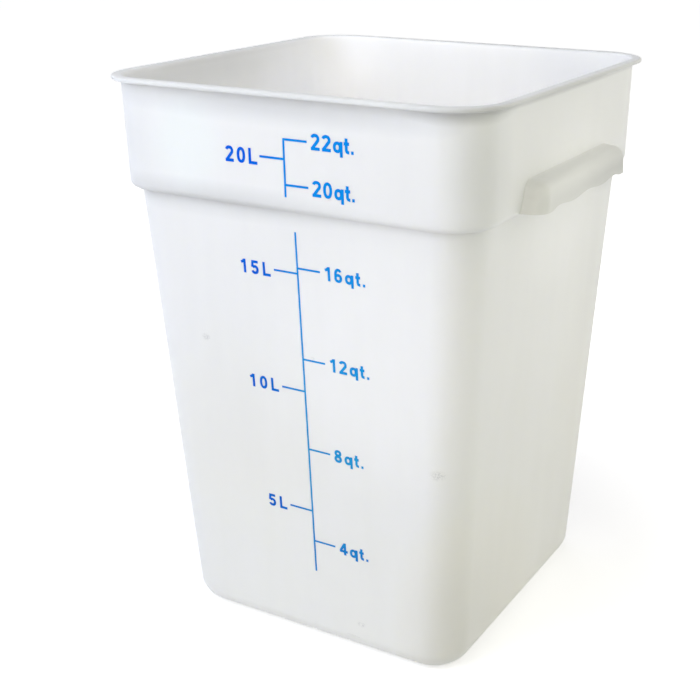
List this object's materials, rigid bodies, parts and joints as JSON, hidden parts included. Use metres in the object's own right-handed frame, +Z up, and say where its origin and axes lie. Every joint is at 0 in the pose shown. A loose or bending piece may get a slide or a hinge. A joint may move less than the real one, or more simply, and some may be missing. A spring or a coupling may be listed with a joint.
{
  "type": "food storage container",
  "caption": "Square tapered food storage tub with a wider band, a flanged rim, hooded finger-grip handles and a printed volume scale.",
  "frame": {"origin": "middle of the base, on the plane that the container stands on", "axes": "+Z up out of the open mouth, -Y towards the front wall with the printed scale, +X and -X towards the two handles"},
  "size_m": [0.303, 0.288, 0.396],
  "materials": {
    "white_plastic": "translucent white polyethylene, softly glossy",
    "blue_ink": "opaque blue screen print"
  },
  "bodies": {
    "root": {"container_body": "white_plastic", "right_handle": "white_plastic", "left_handle": "white_plastic", "upper_scale": "blue_ink", "lower_scale": "blue_ink"}
  },
  "joints": []
}
